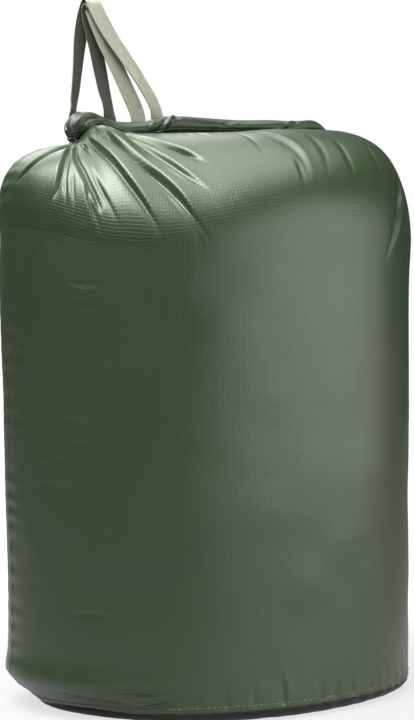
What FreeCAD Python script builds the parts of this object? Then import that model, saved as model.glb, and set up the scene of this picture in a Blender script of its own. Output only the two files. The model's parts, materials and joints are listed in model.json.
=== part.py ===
import FreeCAD, Part
import math
import os

import Sketcher

# A 15 litre stuff sack, packed full and rolled shut, standing on its oval base.
# X runs along the rolled collar, the front faces -Y, +Z is up and the origin is
# the middle of the flat base. All sizes are millimetres.

SIZES = {
    # the packed sack
    "sack_width": 276,
    "sack_depth": 197,
    "mouth_height": 364,
    "crown_height": 65,
    "seam_height": 7,
    "base_inset": 14,
    "mouth_length": 176,
    "mouth_gap": 12,
    "fabric_thickness": 1.0,
    "load_gap": 0.3,
    # side seams and the stitching above the base seam
    "seam_tape_width": 8,
    "seam_tape_thickness": 0.6,
    "stitch_rise": 3,
    "stitch_width": 1.0,
    "stitch_thickness": 0.4,
    # the rolled collar, from its thick knot at the left to its tail at the right
    "collar_length": 183,
    "collar_offset": -9.5,
    "collar_back": 7.5,
    "collar_clearance": 0.1,
    "knot_end_height": 11,
    "knot_height": 17,
    "knot_place": 9,
    "neck_height": 9,
    "neck_place": 39,
    "roll_height": 12,
    "roll_place": 74,
    "waist_height": 8,
    "waist_place": 117,
    "lobe_height": 10,
    "lobe_place": 146,
    "tail_height": 6,
    "wrap_thickness": 0.9,
    # the two webbing loops, one inside the other, and where they are sewn down
    "webbing_width": 10,
    "webbing_thickness": 1.0,
    "hinge_height": 14,
    "hinge_gap": 1.5,
    "loop_rise": 66,
    "loop_lean": -84,
    "outer_left_foot": -93,
    "outer_right_foot": -36,
    "inner_left_foot": -69.5,
    "inner_right_foot": -49.5,
    "fold_radius": 1.4,
    "loop_spacing": 2.6,
    "twist_rise": 16,
    "leg_twist": 50,
    # the bar tacks across the sewn-down ends
    "tack_width": 7,
    "tack_height": 2.4,
    "tack_thickness": 0.5,
    "tack_drop": 3,
}

CROWN_ANGLES = (0, 15, 30, 45, 60, 75, 90)
RIM_ANGLES = (0, 25, 50, 75, 90)
FOLD_ANGLES = (0, 30, 60, 90, 120, 150, 180)

doc = FreeCAD.newDocument("StuffSack")
sheet = doc.addObject("Spreadsheet::Sheet", "sizes")
for row, (alias, value) in enumerate(SIZES.items(), start=1):
    sheet.set(f"A{row}", alias)
    sheet.set(f"B{row}", str(value))
    sheet.setAlias(f"B{row}", alias)
doc.recompute()


def size(alias):
    """One size from the sheet, in millimetres."""
    return float(sheet.get(alias))


def bound(text):
    """An expression in which each size is written by its name alone."""
    for alias in sorted(SIZES, key=len, reverse=True):
        text = text.replace(alias, f"sizes.<{alias}>")
    return text.replace("<", "").replace(">", "")


def bind(obj, **expressions):
    """Binds properties of obj to expressions in the sheet's sizes."""
    for name, text in expressions.items():
        obj.setExpression(name.replace("__", "."), bound(text))
    return obj


# --- level sections and the solids lofted through them ---------------------------


def level_ellipse(name, half_x, half_y, height):
    """A level oval on the sack's axis."""
    oval = doc.addObject("Part::Ellipse", name)
    return bind(
        oval,
        MajorRadius=half_x,
        MinorRadius=half_y,
        Placement__Base__z=height,
    )


def loft(name, sections):
    """A closed solid that runs straight from each section to the next."""
    solid = doc.addObject("Part::Loft", name)
    solid.Sections = sections
    solid.Solid = True
    solid.Ruled = True
    return solid


def wall_solid(name, inset):
    """The sack from the base seam up to the mouth, drawn in by inset all round."""
    half_x = "(mouth_length/2 + (sack_width - mouth_length)/2*{c} - ({i})*{c})"
    half_y = "(mouth_gap/2 + (sack_depth - mouth_gap)/2*{c} - ({i})*{c})"
    height = "mouth_height - crown_height*(1 - {s}) - ({i})*{s}"
    foot = half_x.format(c="1", i=inset), half_y.format(c="1", i=inset)
    middle = "(seam_height + mouth_height - crown_height)/2"
    sections = [
        level_ellipse(name + "_foot", *foot, "seam_height"),
        level_ellipse(name + "_middle", *foot, middle),
    ]
    for angle in CROWN_ANGLES:
        turn = {"c": f"cos({angle})", "s": f"sin({angle})", "i": inset}
        oval = level_ellipse(
            f"{name}_crown_{angle}",
            half_x.format(**turn),
            half_y.format(**turn),
            height.format(**turn),
        )
        sections.append(oval)
    return loft(name, sections)


def rim_solid(name, inset):
    """The sack from the ground up to the base seam, drawn in by inset all round."""
    half = "(sack_{side}/2 - base_inset*(1 - {s}) - ({i})*{s})"
    height = "seam_height*(1 - {c}) + ({i})*{c}"
    sections = []
    for angle in RIM_ANGLES:
        turn = {"c": f"cos({angle})", "s": f"sin({angle})", "i": inset}
        oval = level_ellipse(
            f"{name}_{angle}",
            half.format(side="width", **turn),
            half.format(side="depth", **turn),
            height.format(**turn),
        )
        sections.append(oval)
    return loft(name, sections)


def block(name, low, high):
    """A box between two corners, each corner given as three expressions."""
    box = doc.addObject("Part::Box", name)
    for axis, prop, start, end in zip("xyz", ("Length", "Width", "Height"), low, high):
        bind(box, **{prop: f"({end}) - ({start})", f"Placement__Base__{axis}": start})
    return box


def boolean(kind, name, base, tool):
    """A Part boolean of two objects: Cut, Common or Fuse."""
    result = doc.addObject("Part::" + kind, name)
    result.Base = base
    result.Tool = tool
    return result


def group(name, members):
    """Several separate solids that share one node."""
    compound = doc.addObject("Part::Compound", name)
    compound.Links = members
    return compound


# --- the sack's cloth, its load and its seams ------------------------------------

outer_wall = wall_solid("outer_wall", "0")
inner_wall = wall_solid("inner_wall", "fabric_thickness")
outer_rim = rim_solid("outer_rim", "0")
inner_rim = rim_solid("inner_rim", "fabric_thickness")

REACH_X = "sack_width"
REACH_Y = "sack_depth"
TOP = "mouth_height*2"


def half_space(name, side):
    """Everything in front of (-1) or behind (+1) the side seams."""
    near, far = ("-" + REACH_Y, "0") if side < 0 else ("0", REACH_Y)
    return block(name, ("-" + REACH_X, near, "0"), (REACH_X, far, TOP))


def body_panel(label, side):
    """The front or the back panel, a curved sheet from the base seam to the mouth."""
    shell = boolean("Cut", label + "_shell", outer_wall, inner_wall)
    space = half_space(label + "_side", side)
    return boolean("Common", label, shell, space)


def base_panel():
    """The oval base: a flat bottom whose edge turns up to the base seam."""
    return boolean("Cut", "base_panel", outer_rim, inner_rim)


def packed_load():
    """The soft load that fills the sack and gives it its shape."""
    inset = "fabric_thickness + load_gap"
    upper = wall_solid("load_upper", inset)
    lower = rim_solid("load_lower", inset)
    return boolean("Fuse", "packed_load", upper, lower)


def left_seam():
    """The bound seam that joins the two panels up the left side of the sack."""
    raised = wall_solid("seam_raised", "-seam_tape_thickness")
    skin = boolean("Cut", "seam_skin", raised, outer_wall)
    start = "seam_height + stitch_rise + stitch_width + seam_tape_thickness"
    strip = block(
        "seam_strip",
        ("-sack_width", "-seam_tape_width/2", start),
        ("-mouth_length/2", "seam_tape_width/2", "mouth_height"),
    )
    return boolean("Common", "left_side_seam", skin, strip)


def right_seam(other):
    """The same seam up the right side."""
    seam = doc.addObject("Part::Mirroring", "right_side_seam")
    seam.Source = other
    seam.Normal = FreeCAD.Vector(1, 0, 0)
    return seam


def ellipse_ring(sketch, inner, outer):
    """Two concentric ovals in a sketch, each with its two half axes bound."""
    for index, (half_x, half_y) in enumerate((inner, outer)):
        long_axis = size("sack_width") / 2 + index
        short_axis = size("sack_depth") / 2 + index
        first = sketch.GeometryCount
        oval = Part.Ellipse(
            FreeCAD.Vector(long_axis, 0, 0),
            FreeCAD.Vector(0, short_axis, 0),
            FreeCAD.Vector(0, 0, 0),
        )
        sketch.addGeometry(oval, False)
        sketch.exposeInternalGeometry(first)
        sketch.addConstraint(Sketcher.Constraint("Coincident", first, 3, -1, 1))
        sketch.addConstraint(Sketcher.Constraint("Horizontal", first + 1))
        for line, name, text in ((1, "long", half_x), (2, "short", half_y)):
            length = 2 * (long_axis if line == 1 else short_axis)
            rule = Sketcher.Constraint("Distance", first + line, length)
            sketch.renameConstraint(sketch.addConstraint(rule), f"{name}_{index}")
            sketch.setExpression(f"Constraints.{name}_{index}", bound(f"2*({text})"))


def base_stitching():
    """The row of stitches that runs round the wall just above the base seam."""
    body = doc.addObject("PartDesign::Body", "base_stitching")
    doc.recompute()
    plane = [f for f in body.Origin.OriginFeatures if f.Role == "XY_Plane"][0]
    sketch = body.newObject("Sketcher::SketchObject", "stitch_ring")
    sketch.AttachmentSupport = (plane, [""])
    sketch.MapMode = "FlatFace"
    wall = ("sack_width/2", "sack_depth/2")
    thread = ("sack_width/2 + stitch_thickness", "sack_depth/2 + stitch_thickness")
    ellipse_ring(sketch, wall, thread)
    pad = body.newObject("PartDesign::Pad", "stitch_pad")
    pad.Profile = sketch
    bind(pad, Length="stitch_width")
    bind(body, Placement__Base__z="seam_height + stitch_rise")
    return body


# --- the rolled collar -----------------------------------------------------------

COLLAR_STATIONS = (
    ("0", "knot_end_height"),
    ("knot_place", "knot_height"),
    ("neck_place", "neck_height"),
    ("roll_place", "roll_height"),
    ("waist_place", "waist_height"),
    ("lobe_place", "lobe_height"),
    ("collar_length", "tail_height"),
)


def collar_solid(name, inset):
    """The collar's round roll along X, drawn in by inset, with a straight back."""
    sections = []
    for index, (place, height) in enumerate(COLLAR_STATIONS):
        ring = doc.addObject("Part::Circle", f"{name}_{index}")
        ring.Placement.Rotation = FreeCAD.Rotation(FreeCAD.Vector(0, 1, 0), 90)
        bind(
            ring,
            Radius=f"({height})/2 - ({inset})",
            Placement__Base__x=f"collar_offset - collar_length/2 + {place}",
            Placement__Base__y=f"collar_back - ({height})/2",
            Placement__Base__z=f"mouth_height + collar_clearance + ({height})/2",
        )
        sections.append(ring)
    return loft(name, sections)


def collar_pieces():
    """The back panel's collar outside, the front panel's inside it, round the tape."""
    outside = collar_solid("collar_outside", "0")
    between = collar_solid("collar_between", "wrap_thickness")
    core = collar_solid("hem_tape", "2*wrap_thickness")
    back = boolean("Cut", "back_collar", outside, between)
    front = boolean("Cut", "front_collar", between, core)
    return [back, front, core]


# --- the webbing loops -----------------------------------------------------------


def rectangle(centre, half_width, half_thickness):
    """The webbing's cross section as a closed wire."""
    corners = [
        centre + half_width + half_thickness,
        centre - half_width + half_thickness,
        centre - half_width - half_thickness,
        centre + half_width - half_thickness,
    ]
    return Part.makePolygon(corners + corners[:1])


def turned(vector, axis, degrees):
    """The vector turned about an axis."""
    return FreeCAD.Rotation(axis, degrees).multVec(vector)


def hinge_line():
    """The height and the depth of the line that both loops swing about."""
    depth = size("collar_back") + size("webbing_thickness") / 2
    return size("mouth_height") + size("hinge_height"), depth


def webbing_loop(label, left_foot, right_foot, layer):
    """A flat loop whose top is folded over, with its right leg in front."""
    height, depth = hinge_line()
    start = height + size("hinge_gap")
    radius = size("fold_radius") + layer * size("loop_spacing")
    top_height = height + size("loop_rise") - size("fold_radius")
    top = FreeCAD.Vector(size("loop_lean"), depth, top_height)
    left = FreeCAD.Vector(size(left_foot), depth, start)
    right = FreeCAD.Vector(size(right_foot), depth, start)
    rise = top - left
    fall = right - top
    rise_angle = math.atan2(rise.z, rise.x)
    crease_angle = (rise_angle + math.atan2(fall.z, fall.x)) / 2
    crease = FreeCAD.Vector(math.cos(crease_angle), 0, math.sin(crease_angle))
    upward = FreeCAD.Vector(-math.sin(crease_angle), 0, math.cos(crease_angle))
    back = FreeCAD.Vector(0, 1, 0)
    half_width = size("webbing_width") / 2
    half_thick = size("webbing_thickness") / 2
    across = crease * (half_width / math.sin(rise_angle - crease_angle))

    def foot_section(foot, leg):
        slope = abs(leg.z) / leg.Length
        return rectangle(foot, FreeCAD.Vector(half_width / slope, 0, 0), back * half_thick)

    def leg_section(foot, leg, offset, twist):
        along = FreeCAD.Vector(leg).normalize()
        centre = foot + leg * (size("twist_rise") / leg.Length) + back * offset
        width = turned(turned(along, back, 90) * half_width, along, twist)
        return rectangle(centre, width, turned(back * half_thick, along, twist))

    sections = [
        foot_section(left, rise),
        leg_section(left, rise, radius, size("leg_twist")),
    ]
    for degrees in reversed(FOLD_ANGLES):
        angle = math.radians(degrees)
        out = back * (-math.cos(angle)) + upward * math.sin(angle)
        sections.append(rectangle(top + out * radius, across, out * half_thick))
    sections.append(leg_section(right, top - right, -radius, 0))
    sections.append(foot_section(right, fall))
    solid = Part.makeLoft(sections, True, True)
    feature = doc.addObject("Part::Feature", label)
    feature.Shape = solid
    return feature


def loop_ends(label, feet):
    """The two ends of one loop, sewn flat to the back of the collar."""
    ends = []
    for index, foot in enumerate(feet):
        end = block(
            f"{label}_{index}",
            (f"{foot} - webbing_width/2", "collar_back", "mouth_height + collar_clearance"),
            (
                f"{foot} + webbing_width/2",
                "collar_back + webbing_thickness",
                "mouth_height + hinge_height - hinge_gap/4",
            ),
        )
        ends.append(end)
    return group(label, ends)


def bar_tacks(label, feet):
    """One dense bar of stitches across each sewn-down end."""
    tacks = []
    back = "collar_back + webbing_thickness"
    top = "mouth_height + hinge_height - tack_drop"
    for index, foot in enumerate(feet):
        tack = block(
            f"{label}_{index}",
            (f"{foot} - tack_width/2", back, f"{top} - tack_height"),
            (f"{foot} + tack_width/2", f"{back} + tack_thickness", top),
        )
        tacks.append(tack)
    return group(label, tacks)


OUTER_FEET = ("outer_left_foot", "outer_right_foot")
INNER_FEET = ("inner_left_foot", "inner_right_foot")

left_side_seam = left_seam()
parts = [
    body_panel("front_panel", -1),
    body_panel("back_panel", 1),
    base_panel(),
    packed_load(),
    left_side_seam,
    right_seam(left_side_seam),
    base_stitching(),
    *collar_pieces(),
    webbing_loop("outer_loop", *OUTER_FEET, 1),
    webbing_loop("inner_loop", *INNER_FEET, 0),
    loop_ends("outer_loop_ends", OUTER_FEET),
    loop_ends("inner_loop_ends", INNER_FEET),
    bar_tacks("bar_tacks", OUTER_FEET + INNER_FEET),
]
doc.recompute()

for item in doc.Objects:
    if "Invalid" in item.State or "Error" in item.State:
        raise RuntimeError(f"{item.Name} failed to build: {item.State}")
for item in parts:
    if item.Shape.isNull() or not item.Shape.isValid() or not item.Shape.Solids:
        raise RuntimeError(f"{item.Label} has no valid solid")

os.makedirs("parts", exist_ok=True)
for item in parts:
    item.Shape.exportStep(f"parts/{item.Label}.step")
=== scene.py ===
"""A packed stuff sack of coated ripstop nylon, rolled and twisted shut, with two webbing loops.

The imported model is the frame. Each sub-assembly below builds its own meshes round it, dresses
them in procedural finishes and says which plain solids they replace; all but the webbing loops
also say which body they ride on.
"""

import json
import logging
import math
from dataclasses import dataclass, field
from enum import Enum

import bpy
import numpy as np
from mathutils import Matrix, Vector


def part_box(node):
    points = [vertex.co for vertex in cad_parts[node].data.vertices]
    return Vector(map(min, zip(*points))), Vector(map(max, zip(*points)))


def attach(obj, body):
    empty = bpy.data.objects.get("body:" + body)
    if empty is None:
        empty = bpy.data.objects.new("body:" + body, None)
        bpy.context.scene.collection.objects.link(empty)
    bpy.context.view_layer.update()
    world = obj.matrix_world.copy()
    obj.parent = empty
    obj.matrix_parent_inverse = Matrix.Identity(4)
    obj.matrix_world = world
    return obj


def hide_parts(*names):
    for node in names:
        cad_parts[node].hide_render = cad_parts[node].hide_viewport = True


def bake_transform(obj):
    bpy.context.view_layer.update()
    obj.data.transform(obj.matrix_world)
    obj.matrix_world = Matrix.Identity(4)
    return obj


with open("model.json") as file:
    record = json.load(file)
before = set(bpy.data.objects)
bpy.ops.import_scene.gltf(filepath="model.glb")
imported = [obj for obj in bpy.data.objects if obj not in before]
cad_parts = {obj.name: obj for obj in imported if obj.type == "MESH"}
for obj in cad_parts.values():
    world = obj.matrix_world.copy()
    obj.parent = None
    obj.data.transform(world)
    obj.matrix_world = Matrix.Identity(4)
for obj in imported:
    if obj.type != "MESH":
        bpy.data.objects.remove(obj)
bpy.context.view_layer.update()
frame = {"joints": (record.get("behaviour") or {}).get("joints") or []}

MM = 0.001
LOG = logging.getLogger("stuff_sack")
Array = np.ndarray


class Side(Enum):
    """The two halves of the sack, by the range of degrees round the oval that each covers."""

    FRONT = (-180.0, 0.0)
    BACK = (0.0, 180.0)


THREAD_TIP = 0.4  # how thick a thread is at its ends, as a share
FOLD_POINTS = 26  # how many points follow a fold's line
FOLD_NARROW = 0.35  # how wide a fold is at its ends, as a share
FOLD_OFFSET = 0.35  # how far a fold's valley lies off its line, as a share of its width
FOLD_LIMIT = 13 * MM  # the depth that crossing folds never pass together
RIPPLE_SWAY = 4 * MM  # how far the puckers of a seam stray from even spacing


# --- small helpers ---------------------------------------------------------------


def linear(code: str) -> tuple[float, float, float, float]:
    """Turns an sRGB hex colour into the linear colour that a shader takes.

    Args:
        code: six hex digits, red first.

    Returns:
        Red, green, blue and an alpha of 1.
    """
    shares = [int(code[i : i + 2], 16) / 255 for i in (0, 2, 4)]
    curve = [c / 12.92 if c <= 0.04045 else ((c + 0.055) / 1.055) ** 2.4 for c in shares]
    return (*curve, 1.0)


def set_inputs(node: bpy.types.Node, values: dict, links: dict | None = None) -> None:
    """Sets a shader node's inputs.

    Args:
        node: the node.
        values: constant values by input name or number.
        links: output sockets by the input name or number that they feed.
    """
    for name, value in values.items():
        node.inputs[name].default_value = value
    for name, socket in (links or {}).items():
        node.id_data.links.new(socket, node.inputs[name])


def add_node(tree: bpy.types.NodeTree, kind: str, values: dict | None = None,
             links: dict | None = None, **settings: object) -> bpy.types.Node:
    """Adds one shader node with its settings, socket values and incoming links.

    Args:
        tree: the node tree that gets the node.
        kind: the node's type name, such as ShaderNodeBump.
        values: constant values by input name or number.
        links: output sockets by the input name or number that they feed.
        settings: plain attributes of the node.

    Returns:
        The new node.
    """
    node = tree.nodes.new(kind)
    for name, value in settings.items():
        setattr(node, name, value)
    set_inputs(node, values or {}, links)
    return node


def new_material(name: str) -> tuple[bpy.types.Material, bpy.types.NodeTree, bpy.types.Node]:
    """Starts a material.

    Args:
        name: the material's name.

    Returns:
        The material, its node tree and its shader.
    """
    material = bpy.data.materials.new(name)
    material.use_nodes = True
    return material, material.node_tree, material.node_tree.nodes["Principled BSDF"]


def smooth(t: Array) -> Array:
    """An S-shaped step from 0 to 1 as t goes from 0 to 1."""
    t = np.clip(t, 0, 1)
    return t * t * (3 - 2 * t)


def unit(rows: Array) -> Array:
    """Each row scaled to a length of 1."""
    return rows / np.linalg.norm(rows, axis=1)[:, None]


def run_length(places: Array) -> Array:
    """How far along a line each of its places is."""
    return np.concatenate([[0], np.cumsum(np.linalg.norm(np.diff(places, axis=0), axis=1))])


def curve_through(places: Array, count: int) -> Array:
    """A smooth line through a few places.

    Args:
        places: the places, one to a row.
        count: how many points the line gets.

    Returns:
        Points along a Catmull-Rom curve, spaced evenly in its parameter.
    """
    places = np.asarray(places, float)
    padded = np.vstack([2 * places[0] - places[1], places, 2 * places[-1] - places[-2]])
    t = np.linspace(0, len(places) - 1 - 1e-9, count)
    i = t.astype(int)
    f = (t - i)[:, None]
    a, b, c, d = (padded[i + k] for k in range(4))
    return 0.5 * (2 * b + (c - a) * f + (2 * a - 5 * b + 4 * c - d) * f**2 + (3 * b - a - 3 * c + d) * f**3)


def soft_noise(u: Array, v: Array, cell: float, seed: int) -> Array:
    """Smooth random values from -1 to 1 over a plane.

    Args:
        u: first coordinate in metres.
        v: second coordinate in metres.
        cell: distance between the lattice points in metres.
        seed: number that fixes the random draw.

    Returns:
        One value for each place.
    """
    lattice = np.random.default_rng(seed).uniform(-1, 1, (64, 64))
    a, b = u / cell + 1000, v / cell + 1000
    i, j = np.floor(a).astype(int), np.floor(b).astype(int)
    p, q = smooth(a - i), smooth(b - j)
    low = lattice[i % 64, j % 64] * (1 - p) + lattice[(i + 1) % 64, j % 64] * p
    high = lattice[i % 64, (j + 1) % 64] * (1 - p) + lattice[(i + 1) % 64, (j + 1) % 64] * p
    return low * (1 - q) + high * q


def grid_faces(rows: int, columns: int, closed: bool = False) -> list[tuple[int, int, int, int]]:
    """Four-sided faces over a grid of points, row by row.

    Args:
        rows: how many rows of points there are.
        columns: how many points are in each row.
        closed: whether each row's last point joins its first.

    Returns:
        The faces as point numbers.
    """
    wide = columns if closed else columns - 1
    faces = []
    for r in range(rows - 1):
        for c in range(wide):
            n = (c + 1) % columns
            faces.append((r * columns + c, r * columns + n, (r + 1) * columns + n, (r + 1) * columns + c))
    return faces


def capped_tube(rings: int, around: int) -> list[tuple[int, ...]]:
    """Faces of a tube, ring by ring, with one face over each end.

    Args:
        rings: how many rings of points there are.
        around: how many points are in each ring.

    Returns:
        The faces as point numbers.
    """
    last = range((rings - 1) * around, rings * around)
    return grid_faces(rings, around, True) + [tuple(range(around))[::-1], tuple(last)]


def new_piece(name: str, points: Array, faces: list, cloth_map: Array | None = None) -> bpy.types.Object:
    """Makes a smooth-shaded mesh object.

    Args:
        name: the piece's name.
        points: its points in metres, one to a row.
        faces: its faces as point numbers.
        cloth_map: a place on the flat cloth in metres for each point.

    Returns:
        The object, linked to the scene.
    """
    mesh = bpy.data.meshes.new(name)
    mesh.from_pydata(np.asarray(points).tolist(), [], faces)
    if cloth_map is not None:
        layer = mesh.uv_layers.new(name="cloth")
        corners = np.empty(len(mesh.loops), int)
        mesh.loops.foreach_get("vertex_index", corners)
        layer.data.foreach_set("uv", cloth_map[corners].astype(np.float32).ravel())
    mesh.polygons.foreach_set("use_smooth", np.ones(len(mesh.polygons), bool))
    mesh.update()
    piece = bpy.data.objects.new(name, mesh)
    bpy.context.scene.collection.objects.link(piece)
    return piece


def thicken(piece: bpy.types.Object, thickness: float) -> None:
    """Gives a cloth piece its thickness, on the inner side of its surface.

    Args:
        piece: the piece.
        thickness: the cloth's thickness in metres.
    """
    solidify = piece.modifiers.new("thickness", "SOLIDIFY")
    solidify.thickness = thickness
    solidify.offset = -1.0


def thread_mesh(lines: list[Array], radius: float, sides: int = 6) -> tuple[Array, list]:
    """Round threads along several lines, in one mesh.

    Args:
        lines: each thread's points in metres, one to a row.
        radius: the thread's radius in metres.
        sides: how many sides its section has.

    Returns:
        The points and the faces.
    """
    points, faces = [], []
    for line in lines:
        along = unit(np.gradient(line, axis=0))
        # a slanting direction that no thread runs in fixes where its section starts
        first = unit(np.cross(along, (0.31, 0.2, 0.93)))
        second = np.cross(along, first)
        start = sum(len(p) for p in points)
        taper = np.ones(len(line))
        taper[[0, -1]] = THREAD_TIP
        turn = np.linspace(0, 2 * math.pi, sides, endpoint=False)
        ring = first[:, None] * np.cos(turn)[:, None] + second[:, None] * np.sin(turn)[:, None]
        points.append((line[:, None] + ring * radius * taper[:, None, None]).reshape(-1, 3))
        faces += [tuple(start + n for n in f) for f in capped_tube(len(line), sides)]
    return np.vstack(points), faces


# --- finishes --------------------------------------------------------------------


@dataclass(frozen=True)
class CoatedRipstop:
    """Silicone-coated ripstop nylon: a satin film with a fine square grid of thicker threads.

    Attributes:
        name: the material's name.
        colour: the dyed yarn's colour.
        worn_colour: its colour where the film is thinner and the dye paler.
        roughness: how dull the film is on average.
        gleam: how strongly the film reflects.
        grid: the distance between the thicker threads in metres, as on the real cloth.
        thread: how wide they are in metres, twice the real width so that they show.
        line_shade: how far they darken the colour, as a share.
    """

    name: str
    colour: str
    worn_colour: str
    roughness: float = 0.33
    gleam: float = 1.0
    grid: float = 1.7 * MM
    thread: float = 0.24 * MM
    line_shade: float = 0.24

    def build(self) -> bpy.types.Material:
        """Makes the material, which needs the piece's flat cloth map.

        Returns:
            The material.
        """
        material, tree, shader = new_material(self.name)
        place = add_node(tree, "ShaderNodeUVMap", uv_map="cloth")
        grid = add_node(
            tree, "ShaderNodeTexBrick",
            {"Scale": 1.0, "Mortar Size": self.thread, "Mortar Smooth": 0.6,
             "Brick Width": self.grid, "Row Height": self.grid},
            {"Vector": place.outputs["UV"]}, offset=0.0, squash=1.0)
        space = add_node(tree, "ShaderNodeTexCoord")
        # soft patches 80 mm wide, where the film is thinner and the dye paler
        patches = add_node(tree, "ShaderNodeTexNoise", {"Scale": 1 / (80 * MM), "Detail": 3.0},
                           {"Vector": space.outputs["Object"]})
        shade = add_node(tree, "ShaderNodeMix", {6: linear(self.colour), 7: linear(self.worn_colour)},
                         {"Factor": patches.outputs["Fac"]}, data_type="RGBA")
        lines = add_node(tree, "ShaderNodeMath", {1: self.line_shade}, {0: grid.outputs["Fac"]},
                         operation="MULTIPLY")
        dark = add_node(tree, "ShaderNodeMix", {7: linear("20281c")},
                        {"Factor": lines.outputs[0], 6: shade.outputs[2]}, data_type="RGBA")
        # the film's gloss changes a little from place to place, in patches 12 mm wide
        gloss = add_node(tree, "ShaderNodeTexNoise", {"Scale": 1 / (12 * MM), "Detail": 2.0},
                         {"Vector": space.outputs["Object"]})
        rough = add_node(tree, "ShaderNodeMapRange",
                         {"To Min": self.roughness - 0.05, "To Max": self.roughness + 0.07},
                         {"Value": gloss.outputs["Fac"]})
        # crinkles 5 mm wide that are too shallow for the mesh
        crinkle = add_node(tree, "ShaderNodeTexNoise", {"Scale": 1 / (5 * MM), "Detail": 3.0},
                           {"Vector": space.outputs["Object"]})
        soft = add_node(tree, "ShaderNodeBump", {"Strength": 0.35, "Distance": 0.25 * MM},
                        {"Height": crinkle.outputs["Fac"]})
        bump = add_node(tree, "ShaderNodeBump", {"Strength": 0.45, "Distance": 0.12 * MM},
                        {"Height": grid.outputs["Fac"], "Normal": soft.outputs[0]})
        # the dyed yarns gleam green through the film, whose own gleam stays white
        set_inputs(
            shader,
            {"Specular IOR Level": self.gleam, "Specular Tint": linear("eeffe7"),
             "Coat Weight": 0.4, "Coat Roughness": 0.30,
             "Sheen Weight": 0.03, "Sheen Roughness": 0.4, "Sheen Tint": linear("c9d2c4")},
            {"Base Color": dark.outputs[2], "Roughness": rough.outputs[0], "Normal": bump.outputs[0]})
        return material


@dataclass(frozen=True)
class WovenWebbing:
    """Flat woven polyester webbing: matt, with ribs of weft across it and fine warp along it.

    Attributes:
        name: the material's name.
        colour: the yarn's colour.
        thread_colour: its colour in the gaps of the weave.
        rib: the distance between ribs in metres. Real ones are 0.6 mm apart and wouldn't show.
        gap_shade: how far the gaps darken the colour, as a share.
    """

    name: str
    colour: str
    thread_colour: str
    rib: float = 1.1 * MM
    gap_shade: float = 0.35

    def build(self) -> bpy.types.Material:
        """Makes the material, which needs the piece's flat cloth map.

        Returns:
            The material.
        """
        material, tree, shader = new_material(self.name)
        place = add_node(tree, "ShaderNodeUVMap", uv_map="cloth")
        weave = add_node(
            tree, "ShaderNodeTexBrick",
            {"Scale": 1.0, "Mortar Size": 0.22 * MM, "Mortar Smooth": 1.0,
             "Brick Width": self.rib, "Row Height": self.rib / 2},
            {"Vector": place.outputs["UV"]}, offset=0.5, squash=1.0)
        space = add_node(tree, "ShaderNodeTexCoord")
        mottle = add_node(tree, "ShaderNodeTexNoise", {"Scale": 1 / (3 * MM), "Detail": 3.0},
                          {"Vector": space.outputs["Object"]})
        shade = add_node(tree, "ShaderNodeMix", {6: linear(self.colour), 7: linear(self.thread_colour)},
                         {"Factor": mottle.outputs["Fac"]}, data_type="RGBA")
        gaps = add_node(tree, "ShaderNodeMath", {1: self.gap_shade}, {0: weave.outputs["Fac"]},
                        operation="MULTIPLY")
        dark = add_node(tree, "ShaderNodeMix", {7: linear(self.thread_colour)},
                        {"Factor": gaps.outputs[0], 6: shade.outputs[2]}, data_type="RGBA")
        bump = add_node(tree, "ShaderNodeBump", {"Strength": 0.6, "Distance": 0.2 * MM},
                        {"Height": weave.outputs["Fac"]}, invert=True)
        set_inputs(shader, {"Roughness": 0.78, "Sheen Weight": 0.25},
                   {"Base Color": dark.outputs[2], "Normal": bump.outputs[0]})
        return material


@dataclass(frozen=True)
class SpunThread:
    """Twisted polyester thread: pale, slightly glossy, with a fine slanting twist.

    Attributes:
        name: the material's name.
        colour: the yarn's colour.
        gap_colour: its colour between the plies.
        twist: the distance between the plies in metres.
    """

    name: str
    colour: str
    gap_colour: str = "6f7867"
    twist: float = 0.5 * MM

    def build(self) -> bpy.types.Material:
        """Makes the material.

        Returns:
            The material.
        """
        material, tree, shader = new_material(self.name)
        space = add_node(tree, "ShaderNodeTexCoord")
        plies = add_node(tree, "ShaderNodeTexWave", {"Scale": 1 / (20 * self.twist), "Distortion": 1.0},
                         {"Vector": space.outputs["Object"]}, bands_direction="DIAGONAL")
        shade = add_node(tree, "ShaderNodeMix", {6: linear(self.colour), 7: linear(self.gap_colour)},
                         {"Factor": plies.outputs["Fac"]}, data_type="RGBA")
        bump = add_node(tree, "ShaderNodeBump", {"Strength": 0.4, "Distance": 0.08 * MM},
                        {"Height": plies.outputs["Fac"]})
        set_inputs(shader, {"Roughness": 0.5},
                   {"Base Color": shade.outputs[2], "Normal": bump.outputs[0]})
        return material


@dataclass(frozen=True)
class LoftyWadding:
    """Soft spun filling: matt grey, with shallow tufts.

    Attributes:
        name: the material's name.
        colour: the fibre's colour.
        tuft_colour: its colour on the tufts.
        tuft: how wide a tuft is in metres.
    """

    name: str
    colour: str
    tuft_colour: str = "8b8c88"
    tuft: float = 14 * MM

    def build(self) -> bpy.types.Material:
        """Makes the material.

        Returns:
            The material.
        """
        material, tree, shader = new_material(self.name)
        space = add_node(tree, "ShaderNodeTexCoord")
        tufts = add_node(tree, "ShaderNodeTexNoise", {"Scale": 1 / self.tuft, "Detail": 5.0},
                         {"Vector": space.outputs["Object"]})
        shade = add_node(tree, "ShaderNodeMix", {6: linear(self.colour), 7: linear(self.tuft_colour)},
                         {"Factor": tufts.outputs["Fac"]}, data_type="RGBA")
        bump = add_node(tree, "ShaderNodeBump", {"Strength": 0.7, "Distance": 2 * MM},
                        {"Height": tufts.outputs["Fac"]})
        set_inputs(shader, {"Roughness": 0.9},
                   {"Base Color": shade.outputs[2], "Normal": bump.outputs[0]})
        return material


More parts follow.
